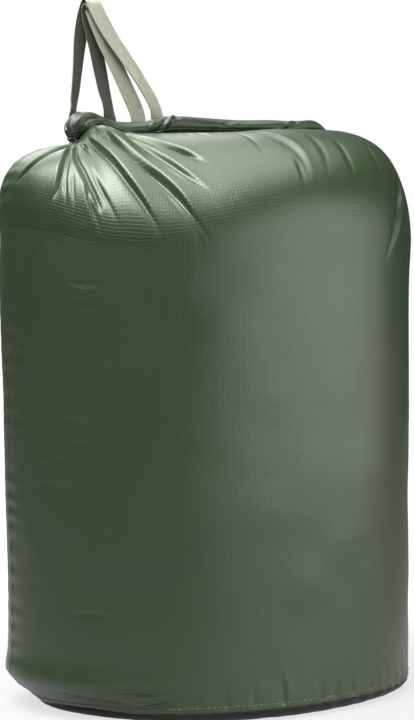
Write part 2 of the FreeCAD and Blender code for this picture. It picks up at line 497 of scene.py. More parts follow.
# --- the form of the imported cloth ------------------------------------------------


@dataclass(frozen=True)
class Fold:
    """A fold in the cloth along a line of places, each in degrees round and millimetres up.

    Attributes:
        places: the line, from where the fold is pulled to where it runs out.
        depth: how far its valley sinks, in millimetres.
        width: how wide its long side is, from the ridge down to the valley, in millimetres.
        drop: how wide its short steep side is, up from the valley, in millimetres.
        crest: how high the ridge at the top of the long side is, in millimetres.
        steep: the short side as seen going along the line, 1 for left and -1 for right.
        hold: the share of its length over which it keeps its depth.
        fade_in: the share of its length over which it comes up to its depth.
    """

    places: tuple[tuple[float, float], ...]
    depth: float
    width: float
    drop: float = 1.5
    crest: float = 0.0
    steep: int = -1
    hold: float = 0.35
    fade_in: float = 0.12

    def relief(self, form: "SackForm", points: Array, normals: Array) -> Array:
        """How far the fold moves each point of the cloth outwards.

        Args:
            form: the smooth form that the fold lies on.
            points: points of the smooth cloth in metres.
            normals: the outward directions there.

        Returns:
            Distances in metres, negative inwards.
        """
        line = curve_through(self.places, FOLD_POINTS)
        path = form.points(np.radians(line[:, 0]), line[:, 1] * MM)
        reach = (6 * self.width + 2 * self.drop) * MM
        low, high = path.min(0) - reach, path.max(0) + reach
        near = np.flatnonzero(((points > low) & (points < high)).all(1))
        moved = np.zeros(len(points))
        if not len(near):
            return moved
        # the nearest place on the line to each point near it: how far off, on which side, how far along
        p, n = points[near], normals[near]
        best = np.full(len(near), np.inf)
        across = np.zeros(len(near))
        along = np.zeros(len(near))
        for k, (a, b) in enumerate(zip(path, path[1:])):
            step = b - a
            t = np.clip(((p - a) @ step) / (step @ step), 0, 1)
            offset = p - a - t[:, None] * step
            distance = np.linalg.norm(offset, axis=1)
            side = np.sign((np.cross(n, step) * offset).sum(1))
            closer = distance < best
            best = np.where(closer, distance, best)
            across = np.where(closer, distance * side, across)
            along = np.where(closer, (k + t) / (len(path) - 1), along)
        # the fold comes up to its depth, keeps it, and runs out
        strength = smooth(along / self.fade_in) * (1 - smooth((along - self.hold) / (1 - self.hold)))
        swell = FOLD_NARROW + (1 - FOLD_NARROW) * np.sin(math.pi * np.clip(along, 0, 1) ** 0.85)
        x = across / MM * self.steep - FOLD_OFFSET * self.width * swell
        drop, width = self.drop * (0.5 + 0.5 * swell), self.width * swell
        # across it: the ridge, the long side down from it, the steep side up from the valley at 0,
        # and a shallow dip beyond, which dies away
        down = np.clip(1 + x / width, 0, 1)
        shaded = self.crest - (self.depth + self.crest) * (0.3 * smooth(down) + 0.7 * down)
        ridge = self.crest * np.exp(np.minimum(x + width, 0) / (1.5 * width))
        up = np.clip(x / drop, 0, 1)
        lit = self.depth * (0.7 * smooth(up) - 1)
        beyond = -0.3 * self.depth * np.exp(-np.maximum(x - drop, 0) / (1.2 * width))
        height = np.where(x < -width, ridge, np.where(x < 0, shaded, np.where(x < drop, lit, beyond)))
        # nothing is left of it at six widths from the line
        fade = 1 - smooth((best / MM - 4 * self.width) / (2 * self.width))
        moved[near] = height * strength * fade * MM
        return moved


@dataclass
class SackForm:
    """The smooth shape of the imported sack, by how far round and how far up the cloth a place is.

    Lengths are in metres.

    Attributes:
        half_width: from the middle to a side seam.
        half_depth: from the middle to the front.
        seam_height: how high the base seam is.
        mouth_height: how high the mouth is, where the collar starts.
        crown_height: how far below the mouth the shoulders start.
        crown_rise: how much cloth runs from there to the mouth.
        mouth_half_width: half the closed mouth's width.
        mouth_half_gap: half the gap that it leaves.
        mouth_shift: how far right the mouth is set.
        mouth_lift: how far up it is set.
        mouth_tilt: how fast it climbs to the right.
        knot_place: how far right the knot is.
        knot_rise: how far the knot draws the cloth under it up.
        knot_sink: how far the cloth beyond the knot sinks.
        seam_drop: how far the base seam is pulled down at the left end.
        tuck_depth: how far the left end of the wall is drawn in at its foot.
        tuck_height: how far up that reaches.
        corner_flare: how far the wall stands out just above it.
        lean: how far left the wall leans at its top.
        left_fullness: how square the left shoulder is, 2 for an ellipse.
        right_fullness: how square the right shoulder is.
        side_fullness: how square the shoulder is at the front and back.
        knot_pull: how much less square it is where the knot pulls it straight.
        knot_turn: radians from the right seam to that place, at the front and the back.
        knot_spread: how far round that reaches, in radians.
        shoulder_drop: how far the shoulder is drawn down there.
        top_spread: how much wider the wall is at its top, as a share.
    """

    half_width: float
    half_depth: float
    seam_height: float
    mouth_height: float
    crown_height: float = 65 * MM
    crown_rise: float = 85 * MM
    mouth_half_width: float = 90 * MM
    mouth_half_gap: float = 6 * MM
    mouth_shift: float = -6.5 * MM
    mouth_lift: float = 1.1 * MM
    mouth_tilt: float = 0.072
    knot_place: float = -83 * MM
    knot_rise: float = 5.0 * MM
    knot_sink: float = 6.5 * MM
    seam_drop: float = 2.6 * MM
    tuck_depth: float = 19 * MM
    tuck_height: float = 18 * MM
    corner_flare: float = 1.6 * MM
    lean: float = 2.2 * MM
    left_fullness: float = 3.1
    right_fullness: float = 2.5
    side_fullness: float = 2.2
    knot_pull: float = 0.6
    knot_turn: float = 2.18
    knot_spread: float = 0.52
    shoulder_drop: float = 16 * MM
    top_spread: float = 0.026

    @property
    def wall_rise(self) -> float:
        """How far up the cloth the straight wall goes."""
        return self.mouth_height - self.crown_height - self.seam_height

    @property
    def top_rise(self) -> float:
        """How far up the cloth the mouth is."""
        return self.wall_rise + self.crown_rise

    @property
    def radius(self) -> float:
        """The radius of the circle that is as long as the wall's oval."""
        return math.sqrt((self.half_width**2 + self.half_depth**2) / 2)

    def seam_level(self, turn: Array) -> Array:
        """How high the base seam is: it is pulled down and under round the left end."""
        return self.seam_height - self.seam_drop * self.left_end(turn)

    def left_end(self, turn: Array) -> Array:
        """How near a place round the oval is to the left end, from 0 to 1."""
        return smooth((-np.cos(turn) - 0.25) / 0.70)

    def points(self, turn: Array, rise: Array) -> Array:
        """Where places of the smooth cloth are.

        Args:
            turn: radians round the oval, 0 at the right seam and negative along the front.
            rise: metres up the cloth from the base seam.

        Returns:
            Points in metres, one to each place.
        """
        turn, rise = np.broadcast_arrays(np.asarray(turn, float), np.asarray(rise, float))
        along = np.clip(rise / self.wall_rise, 0, 1)
        angle = np.clip((rise - self.wall_rise) / self.crown_rise, 0, 1) * math.pi / 2
        c, s = np.cos(turn), np.sin(turn)
        ends = np.where(c < 0, self.left_fullness, self.right_fullness)
        fullness = self.side_fullness + (ends - self.side_fullness) * c * c
        # the knot pulls the left shoulder straight, so it is lower and less full there
        pulled = np.exp(-(((np.abs(turn) - self.knot_turn) / self.knot_spread) ** 2))
        fullness = fullness - self.knot_pull * pulled
        # the crown closes in from the wall's oval to the mouth
        out = np.clip(np.cos(angle), 0, 1) ** (2 / fullness)
        up = np.clip(np.sin(angle), 0, 1) ** (2 / fullness)
        climb = smooth(along) ** 1.5
        spread = 1 + self.top_spread * climb * out
        wide = self.mouth_half_width + (self.half_width * spread - self.mouth_half_width) * out
        deep = self.mouth_half_gap + (self.half_depth * spread - self.mouth_half_gap) * out
        # the foot of the wall is tucked in at the left end, with a soft corner above
        under = np.clip(1 - rise / self.tuck_height, 0, 1)
        corner = self.corner_flare * np.exp(-(((rise - self.tuck_height) / (9 * MM)) ** 2)) * (1 - under)
        reach = (corner - self.tuck_depth * under**1.3) * self.left_end(turn)
        tucked = 1 + reach / self.half_width
        x = wide * c * tucked + (self.mouth_shift + self.lean) * up - self.lean * climb
        y = deep * s * tucked
        # the mouth climbs to the right, and the knot gathers it up
        gathered = self.knot_rise * np.exp(-(((x - self.knot_place) / (10 * MM)) ** 2))
        sunk = self.knot_sink * smooth((self.knot_place - 5 * MM - x) / (12 * MM))
        lift = up * (self.mouth_lift + self.mouth_tilt * x + gathered - sunk)
        seam = self.seam_level(turn)
        crown = self.crown_height + self.shoulder_drop * pulled
        z = seam + along * (self.mouth_height - crown - seam) + crown * up + lift
        return np.stack([x, y, z], -1)

    def normals(self, turn: Array, rise: Array) -> Array:
        """The outward direction of the smooth cloth.

        Args:
            turn: radians round the oval.
            rise: metres up the cloth.

        Returns:
            Unit directions, one to each place.
        """
        turn, rise = np.broadcast_arrays(np.asarray(turn, float), np.asarray(rise, float))
        round_step, up_step = 0.01, 0.5 * MM
        high = np.clip(rise + up_step, 0, self.top_rise)
        low = np.clip(rise - up_step, 0, self.top_rise)
        round_it = self.points(turn + round_step, rise) - self.points(turn - round_step, rise)
        up_it = self.points(turn, high) - self.points(turn, low)
        normal = np.cross(round_it, up_it)
        return normal / np.maximum(np.linalg.norm(normal, axis=-1, keepdims=True), 1e-12)

    def flat_place(self, turn: Array, rise: Array) -> Array:
        """The same places on the flat cloth, in metres."""
        turn, rise = np.broadcast_arrays(turn, rise)
        return np.stack([turn * self.radius, rise], -1)


@dataclass
class PackedCloth:
    """The real cloth over the form, with its soft waves, seam puckers and folds.

    Attributes:
        form: the smooth form that it lies on.
        folds: the folds in it.
        wave: how high the soft waves are in metres.
        seam_pucker: how high the puckers along the side seams are in metres.
        seam_pitch: how far apart those puckers are in metres.
        base_pucker: how high the puckers along the base seam are in metres.
        base_pitch: how far apart those puckers are in metres.
    """

    form: SackForm
    folds: tuple[Fold, ...]
    wave: float = 0.9 * MM
    seam_pucker: float = 0.55 * MM
    seam_pitch: float = 11.5 * MM
    base_pucker: float = 0.6 * MM
    base_pitch: float = 12.5 * MM

    def waves(self, turn: Array, rise: Array) -> Array:
        """How far the soft waves and the seam puckers move the cloth.

        Args:
            turn: radians round the oval.
            rise: metres up the cloth.

        Returns:
            Distances in metres, positive outwards.
        """
        # both panels count from the right seam, so that they meet at the left one
        turn = math.pi - np.abs(math.pi - np.abs(turn))
        place = self.form.flat_place(turn, rise)
        u, v = place[..., 0], place[..., 1]
        moved = self.wave * soft_noise(u, v, 62 * MM, 3) + 0.38 * self.wave * soft_noise(u, v, 24 * MM, 5)
        side = np.minimum(turn, math.pi - turn) * self.form.half_depth
        uneven = 0.55 + 0.45 * soft_noise(u, v, 31 * MM, 8)
        ripple = np.cos(2 * math.pi * (v + RIPPLE_SWAY * soft_noise(u, v, 26 * MM, 9)) / self.seam_pitch)
        moved += self.seam_pucker * uneven * ripple * np.exp(-side / (11 * MM))
        ripple = np.cos(2 * math.pi * (u + RIPPLE_SWAY * soft_noise(u, v, 22 * MM, 11)) / self.base_pitch)
        near = np.exp(-rise / (9 * MM)) * (1 - 0.75 * self.form.left_end(turn))
        moved += self.base_pucker * uneven * ripple * near
        return moved

    def surface(self, turn: Array, rise: Array, folded: bool = True) -> tuple[Array, Array]:
        """Where places of the real cloth are.

        Args:
            turn: radians round the oval.
            rise: metres up the cloth.
            folded: whether the folds count, besides the waves and puckers.

        Returns:
            The points and the smooth form's outward directions there.
        """
        points = self.form.points(turn, rise).reshape(-1, 3)
        normals = self.form.normals(turn, rise).reshape(-1, 3)
        moved = self.waves(*np.broadcast_arrays(turn, rise)).ravel()
        if folded:
            deep = sum(fold.relief(self.form, points, normals) for fold in self.folds)
            moved = moved + FOLD_LIMIT * np.tanh(deep / FOLD_LIMIT)
        return points + normals * moved[:, None], normals


FRONT_FOLDS = (
    # the large pleats that run out from the knot, from the left shoulder to the middle of the front
    Fold(((-151, 360), (-156.5, 352), (-160.5, 344), (-164, 334), (-167, 323), (-170.8, 311)),
         2.4, 3.0, 1.3, 0.6, 1, 0.75),
    Fold(((-152, 358), (-150.6, 341), (-150, 330), (-149.9, 320), (-150.6, 312), (-152, 304)),
         2.8, 3.4, 1.3, 0.6, 1, 0.75),
    Fold(((-150.5, 360), (-146.8, 341), (-143.6, 331), (-140.8, 322), (-138.3, 314), (-135.8, 304)),
         3.4, 4.0, 1.3, 0.8, 1, 0.85),
    Fold(((-147.5, 366), (-141.8, 353), (-136.8, 341.5), (-133, 332.5), (-128.6, 322),
          (-124.5, 312.5), (-121.2, 303), (-118.3, 292)), 3.6, 4.2, 1.3, 0.8, -1, 0.6, 0.2),
    Fold(((-140.5, 365), (-133.5, 347.5), (-128, 338), (-123.8, 332), (-119, 325), (-115, 316),
          (-111.5, 305), (-106.5, 288)), 5.2, 5.2, 1.4, 1.0, -1, 0.7, 0.15),
    Fold(((-131, 363), (-124, 350.5), (-119, 341), (-115, 333.5), (-110.5, 324), (-105, 312.5)),
         3.6, 3.6, 1.2, 0.7, -1, 0.7, 0.2),
    Fold(((-130, 366), (-124.5, 358), (-119.2, 353), (-114.5, 347), (-109.2, 339.5), (-103.5, 328)),
         4.8, 5.2, 1.4, 0.9, -1, 0.75, 0.1),
    # lesser pleats between them
    Fold(((-150.5, 350), (-149, 339), (-148.3, 321), (-147.5, 311), (-146.8, 298)),
         1.2, 2.4, 1.2, 0.3, 1, 0.6, 0.3),
    Fold(((-146.3, 330), (-145.5, 320), (-144.8, 311), (-143.3, 299)), 0.9, 2.4, 1.2, 0.3, 1, 0.5, 0.4),
    Fold(((-141, 326), (-140.6, 318), (-139.4, 309), (-137.5, 301), (-135, 291)),
         1.3, 2.4, 1.2, 0.4, 1, 0.5, 0.4),
    Fold(((-140.5, 336), (-136.8, 322), (-133.4, 311), (-128.5, 294)), 1.3, 2.4, 1.2, 0.4, -1, 0.5, 0.4),
    Fold(((-152, 364), (-146.2, 355.5), (-142, 345.5)), 1.8, 2.2, 1.1, 0.4, 1, 0.5),
    Fold(((-149, 362), (-144, 349.5), (-140.8, 341.5)), 1.2, 1.8, 1.0, 0.3, 1, 0.5),
    Fold(((-144, 366), (-137.2, 352), (-133.5, 344)), 1.3, 2.2, 1.1, 0.4, -1, 0.4),
    Fold(((-120.5, 324), (-116.2, 313), (-113.2, 305), (-110.5, 296), (-108.6, 284)),
         1.4, 2.8, 1.5, 0.4, -1, 0.45, 0.4),
    Fold(((-119, 334), (-114, 325.5), (-109.5, 317)), 0.8, 2.0, 1.0, 0.3, -1, 0.5, 0.4),
    Fold(((-112, 344), (-108, 336), (-104.8, 327)), 1.0, 1.8, 1.0, 0.3, -1, 0.5, 0.4),
    Fold(((-105, 365), (-102.2, 355), (-99.2, 347)), 1.0, 1.8, 1.0, 0.4, -1, 0.4, 0.4),
    Fold(((-100.5, 367), (-98.8, 359), (-97, 350)), 0.8, 1.8, 1.0, 0.3, -1, 0.4, 0.4),
    # short creases under the rolled collar, towards the right shoulder
    Fold(((-88, 362), (-87.1, 347), (-88.9, 325)), 0.9, 4.0, 2.4, 0.2, 1, 0.3, 0.3),
    Fold(((-82, 360), (-80.2, 346), (-79.3, 332)), 0.9, 3.2, 1.8, 0.5, 1, 0.4, 0.3),
    Fold(((-79, 360), (-76.8, 343), (-76.6, 327), (-78.4, 311)), 1.6, 4.0, 2.4, 0.9, -1, 0.5, 0.3),
    Fold(((-79.6, 328), (-80.2, 319), (-81.3, 306)), 1.0, 3.0, 1.6, 0.4, 1, 0.4, 0.4),
    Fold(((-65, 352), (-68.3, 333), (-73.2, 311)), 0.9, 5.0, 2.8, 0.2, 1, 0.3, 0.4),
    Fold(((-56, 348), (-60.5, 327), (-64, 306)), 0.9, 5.2, 2.8, 0.2, 1, 0.3, 0.4),
    Fold(((-40, 346), (-45.6, 327), (-52.1, 305)), 0.9, 5.5, 2.8, 0.2, 1, 0.3, 0.4),
    Fold(((-34, 320), (-39, 303), (-46.6, 289), (-52.4, 268)), 1.5, 5.0, 2.6, 0.8, -1, 0.45, 0.4),
    Fold(((-29, 321), (-35, 310), (-43, 298), (-51, 284)), 1.5, 3.2, 1.4, 0.6, -1, 0.5, 0.3),
    # faint puckers up the left side, and creases round the left end of the base
    Fold(((-148, 263), (-140, 263.5), (-133, 269)), 0.4, 3.6, 2.0, 0.15, 1, 0.3, 0.4),
    Fold(((-151, 252), (-141, 251.5), (-134, 255)), 0.35, 3.6, 2.0, 0.12, -1, 0.3, 0.4),
    Fold(((-162, 213), (-150.8, 215), (-134, 212)), 0.3, 4.0, 2.2, 0.1, 1, 0.3, 0.4),
    Fold(((-154, 183), (-143.5, 182), (-133, 189)), 0.4, 3.6, 2.0, 0.15, 1, 0.3, 0.4),
    Fold(((-156, 168), (-143.2, 167.5), (-131, 164)), 0.35, 3.6, 2.0, 0.12, -1, 0.3, 0.4),
    Fold(((-163, 156), (-150.7, 153), (-131, 151)), 0.35, 4.0, 2.2, 0.1, 1, 0.3, 0.4),
    Fold(((-162, 138), (-151.6, 139), (-132, 145)), 0.35, 4.0, 2.2, 0.1, -1, 0.3, 0.4),
    Fold(((-150, 60), (-144, 63), (-137, 63), (-131, 59)), 0.5, 3.4, 1.6, 0.4, -1, 0.4, 0.4),
    Fold(((-178, 58), (-170, 56), (-159, 55)), 0.2, 4.0, 2.0, 0.1, 1, 0.4, 0.4),
    Fold(((-157, 13), (-146, 10), (-136, 8), (-124, 5)), 2.4, 4.0, 1.8, 0.7, -1, 0.6, 0.3),
    Fold(((-143, 16), (-132, 14), (-122, 14), (-112, 16)), 2.0, 4.2, 2.0, 0.6, 1, 0.4, 0.4),
    Fold(((-130, 5), (-122, 7), (-112, 11)), 2.0, 3.2, 1.4, 0.6, -1, 0.4),
    # puckers that stand up from the base seam
    Fold(((-110, 0), (-110.5, 7), (-111, 15)), 0.9, 2.6, 1.3, 0.3, 1, 0.2),
    Fold(((-103.4, 0), (-103.7, 8), (-104.3, 19)), 1.0, 2.6, 1.3, 0.3, 1, 0.2),
    Fold(((-97, 0), (-97.3, 8), (-98, 19)), 1.0, 2.6, 1.3, 0.3, -1, 0.2),
    Fold(((-88, 0), (-88.5, 12), (-89.4, 27)), 1.4, 2.8, 1.4, 0.5, 1, 0.3),
    Fold(((-77, 0), (-77.8, 10), (-78.8, 22)), 1.0, 2.8, 1.3, 0.3, -1, 0.2),
    Fold(((-71, 0), (-71.6, 8), (-72.4, 17)), 0.9, 2.4, 1.2, 0.3, 1, 0.2),
    Fold(((-65, 0), (-66, 9), (-67.8, 22)), 1.0, 2.8, 1.3, 0.3, 1, 0.2),
    Fold(((-58, 0), (-59, 8), (-60, 18)), 0.9, 2.4, 1.2, 0.3, -1, 0.2),
)


def back_folds() -> tuple[Fold, ...]:
    """Pleats that fan out from the knot over the back, and creases at the far shoulder.

    Returns:
        The folds, drawn from a fixed seed so that they are the same each time.
    """
    draw = np.random.default_rng(41)
    folds = []
    # pleats that fan out from the knot
    for i, end in enumerate((173, 166, 158, 149, 141, 132, 122, 112, 103)):
        length = 62 + 34 * math.sin(math.pi * (i + 1) / 10) + draw.uniform(-10, 10)
        start = 158 - 3.4 * i
        bottom = 362 - length
        middle = (start + (end - start) * 0.55 + draw.uniform(-2, 2), 362 - 0.5 * length)
        places = ((start, 366 - 0.6 * i), middle, (end, bottom))
        folds.append(Fold(places, draw.uniform(2.8, 4.6), draw.uniform(4.5, 7.0),
                          draw.uniform(2.4, 4.4), 0.9, 1 if i % 2 else -1, draw.uniform(0.45, 0.75)))
    # short creases that hang from the mouth
    for start in (92, 83, 74, 64, 53, 40, 30):
        top = 352 - 0.25 * (92 - start)
        bottom = top - draw.uniform(24, 46)
        folds.append(Fold(((start, top), (start - draw.uniform(-2, 4), bottom)), draw.uniform(1.0, 1.8),
                          draw.uniform(3.2, 5.0), 2.0, 0.4, 1 if start % 2 else -1, 0.4))
    # puckers that stand up from the base seam
    for foot in (24, 43, 58, 71, 88, 99, 117, 134, 152):
        folds.append(Fold(((foot, 0), (foot + 0.4, 9), (foot + 1.2, draw.uniform(17, 26))),
                          draw.uniform(0.8, 1.3), 2.6, 1.3, 0.3, 1, 0.2))
    return tuple(folds)


# --- the body of the sack --------------------------------------------------------


@dataclass
class SackBody:
    """The two body panels, their side seams, the base and the soft load inside.

    Attributes:
        form: the sack's smooth form.
        cloth: the panels' finish.
        base_cloth: the base's finish, whose colour is darker than the panels' as painted shade under the
            sack.
        binding: the bound seams' finish.
        wadding: the load's finish.
        thickness: how thick the cloth is, coating and all, in metres.
        columns: how many points the finest mesh has round a panel.
        rows: how many it has up the panel.
        load_inset: how far inside the cloth the load lies in metres.
        binding_width: how wide a bound seam is in metres.
        binding_rise: how far it stands off the cloth in metres.
        base_bend: the share of the base's rings that turns up to the base seam.
        seam_allowance: how much cloth the base's seam takes up, on both sides together, in metres; not
            used.
        made: the finished pieces by key.
    """

    form: SackForm
    cloth: CoatedRipstop
    base_cloth: CoatedRipstop
    binding: CoatedRipstop
    wadding: LoftyWadding
    thickness: float = 0.5 * MM
    columns: int = 420
    rows: int = 400
    load_inset: float = 10 * MM
    binding_width: float = 4.4 * MM
    binding_rise: float = 0.28 * MM
    base_bend: float = 0.3
    seam_allowance: float = 14 * MM
    made: dict[str, bpy.types.Object] = field(default_factory=dict)

    def panel(self, name: str, side: Side, folds: tuple[Fold, ...], share: float) -> bpy.types.Object:
        """Builds one body panel.

        Args:
            name: the piece's name.
            side: which half of the sack it covers.
            folds: the folds in it.
            share: how fine its mesh is, as a share of the finest.

        Returns:
            The panel.
        """
        columns, rows = int(self.columns * share), int(self.rows * share)
        start, end = side.value
        # the mesh is finest where the pleats are: at the left, and up the shoulder and the crown
        turn = np.radians(np.linspace(start, end, columns))
        turn = (turn - 0.16 * np.sin(2 * turn))[None, :]
        part = np.linspace(0, 1, rows)
        rise = (self.form.top_rise * (1.45 * part - 0.45 * part**3))[:, None]
        points, _ = PackedCloth(self.form, folds).surface(turn, rise)
        flat = self.form.flat_place(turn, rise).reshape(-1, 2)
        piece = new_piece(name, points, grid_faces(rows, columns), flat)
        thicken(piece, self.thickness)
        return piece

    def base(self) -> bpy.types.Object:
        """Builds the base.

        Returns:
            The oval base, whose edge turns up to the base seam.
        """
        rings, columns = 64, 360
        turn = np.linspace(-math.pi, math.pi, columns, endpoint=False)[None, :]
        part = np.linspace(0, 1, rings)[:, None]
        edge = PackedCloth(self.form, ()).surface(turn, np.zeros((1, 1)), False)[0].reshape(1, columns, 3)
        bend = np.clip(part / self.base_bend, 0, 1) * math.pi / 2
        # the edge is 14 mm wide, and 6 mm where the left end is drawn in over it
        inset = (14 - 8 * self.form.left_end(turn)) * MM * (1 - np.cos(bend))
        flat_part = np.clip((part - self.base_bend) / (1 - self.base_bend), 0, 1)
        shrink = (1 - inset / self.form.half_width) * (1 - 0.985 * flat_part)
        # wrinkles 9 mm wide: the edge lies at a radius of about 118 mm, and the rings cover 120 mm
        wrinkle = 0.5 * MM * soft_noise(turn * 0.118 + part * 0, part * 0.12, 9 * MM, 21)
        height = self.form.seam_level(turn) * (1 - np.sin(bend)) + 0.05 * MM
        height = height + np.abs(wrinkle) * np.sin(np.clip(part / self.base_bend, 0, 1) * math.pi)
        x = edge[..., 0] * shrink
        y = edge[..., 1] * shrink
        points = np.stack([x, y, np.broadcast_to(height, x.shape)], -1).reshape(-1, 3)
        # laid flat, the turned-up edge makes the cloth a little larger than the base
        flat = points[:, :2] * 1.06
        faces = grid_faces(rings, columns, True)
        faces.append(tuple(range((rings - 1) * columns, rings * columns)))
        return new_piece("ripstop_base", points, [f[::-1] for f in faces], flat)

    def load(self) -> bpy.types.Object:
        """Builds the soft load.

        Returns:
            A lumpy closed form a little inside the cloth.
        """
        rows, columns = 90, 160
        turn = np.linspace(-math.pi, math.pi, columns, endpoint=False)[None, :]
        rise = np.linspace(0, self.form.top_rise - 3 * MM, rows)[:, None]
        points = self.form.points(turn, rise).reshape(-1, 3)
        normals = self.form.normals(turn, rise).reshape(-1, 3)
        turns, rises = np.broadcast_arrays(turn, rise)
        lumps = 1.5 * MM * soft_noise(np.cos(turns) * 0.14, rises + np.sin(turns) * 0.05, 30 * MM, 15)
        inset = np.minimum(self.load_inset, np.abs(points[:, 1]) * 0.6 + 1.5 * MM)
        points = points - normals * (inset - 0.4 * lumps.ravel())[:, None]
        points[:, 2] = np.maximum(points[:, 2], 6 * MM)
        return new_piece("soft_load", points, capped_tube(rows, columns))

    def side_binding(self, name: str, middle: float, cad_node: str) -> bpy.types.Object:
        """Builds one bound side seam, puckered along its stitching.

        Args:
            name: the piece's name.
            middle: degrees round the oval at which the seam lies.
            cad_node: the seam's node in the frame, which says how far up it runs.

        Returns:
            The seam.
        """
        low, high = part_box(cad_node)
        rows, columns = 260, 13
        across = np.linspace(-1, 1, columns)[None, :]
        rise = np.linspace(low[2] - self.form.seam_height, self.form.top_rise, rows)[:, None]
        turn = math.radians(middle) + across * self.binding_width / 2 / self.form.half_depth
        places, outwards = PackedCloth(self.form, ()).surface(turn, rise, False)
        # it is round across, scalloped by the stitching, and strays a little to each side
        profile = np.cos(math.pi / 2 * across)
        scallop = 0.5 + 0.5 * np.cos(2 * math.pi * (rise + 3 * MM * np.sin(rise * 97)) / (10.5 * MM))
        lift = self.binding_rise * profile * (0.6 + 0.8 * scallop) - 0.25 * MM * (1 - profile)
        shift = 0.4 * MM * np.sin(rise * 260 + 2 * np.sin(rise * 61)) * np.ones_like(across)
        points = places + outwards * np.broadcast_to(lift, (rows, columns)).reshape(-1, 1)
        points[:, 1] += shift.ravel()
        flat = self.form.flat_place(turn, rise).reshape(-1, 2)
        piece = new_piece(name, points, grid_faces(rows, columns), flat)
        thicken(piece, self.thickness)
        return piece

    def build(self) -> None:
        """Builds every piece of the body."""
        self.made["front"] = self.panel("ripstop_front", Side.FRONT, FRONT_FOLDS, 1.0)
        self.made["back"] = self.panel("ripstop_back", Side.BACK, back_folds(), 0.7)
        self.made["base"] = self.base()
        self.made["load"] = self.load()
        self.made["left"] = self.side_binding("side_binding_left", 180.0, "left_side_seam")
        self.made["right"] = self.side_binding("side_binding_right", 0.0, "right_side_seam")

    def dress(self) -> None:
        """Gives each piece its finish, its body and the plain solid that it replaces."""
        panel_cloth = self.cloth.build()
        binding_cloth = self.binding.build()
        rows = (
            ("front", panel_cloth, "front_panel", "body_ripstop"),
            ("back", panel_cloth, "back_panel", "body_ripstop"),
            ("base", self.base_cloth.build(), "base_panel", "base_ripstop"),
            ("load", self.wadding.build(), "packed_load", "stuffing"),
            ("left", binding_cloth, "left_side_seam", "seam_binding"),
            ("right", binding_cloth, "right_side_seam", "seam_binding"),
        )
        for key, material, node, slot in rows:
            piece = self.made[key]
            piece.data.materials.append(material)
            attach(piece, "sack")
            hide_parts(node)
            LOG.info("%s: %d points", piece.name, len(piece.data.vertices))


@dataclass
class BaseTopstitch:
    """The row of small stitches that runs round the wall just above the base seam.

    Attributes:
        form: the sack's smooth form.
        thread: the thread's finish.
        pitch: the distance from stitch to stitch in metres.
        stitch: how long a stitch is in metres.
        radius: the thread's radius in metres.
        piece: the finished stitches.
    """

    form: SackForm
    thread: SpunThread
    pitch: float = 3.2 * MM
    stitch: float = 2.5 * MM
    radius: float = 0.22 * MM
    piece: bpy.types.Object | None = None

    def build(self) -> None:
        """Lays one short thread for each stitch, bedded in the cloth."""
        low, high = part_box("base_stitching")
        rise = (low[2] + high[2]) / 2 - self.form.seam_height
        around = 2 * math.pi * self.form.radius
        count = round(around / self.pitch)
        cloth = PackedCloth(self.form, ())
        # each thread dives into the cloth at both ends and stands off it in the middle
        bed = np.array([-0.25, 0.15, 0.3, 0.15, -0.25]) * MM
        lines = []
        for turn in np.linspace(-math.pi, math.pi, count, endpoint=False):
            half = self.stitch / around * math.pi
            turns = turn + np.linspace(-half, half, len(bed))
            points, normals = cloth.surface(turns, np.full(len(bed), rise), False)
            lines.append(points + normals * bed[:, None])
        self.piece = new_piece("base_topstitch", *thread_mesh(lines, self.radius))

    def dress(self) -> None:
        """Gives the stitches their finish and body."""
        self.piece.data.materials.append(self.thread.build())
        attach(self.piece, "sack")
        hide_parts("base_stitching")
        LOG.info("%s: %d points", self.piece.name, len(self.piece.data.vertices))


# --- the rolled collar -----------------------------------------------------------


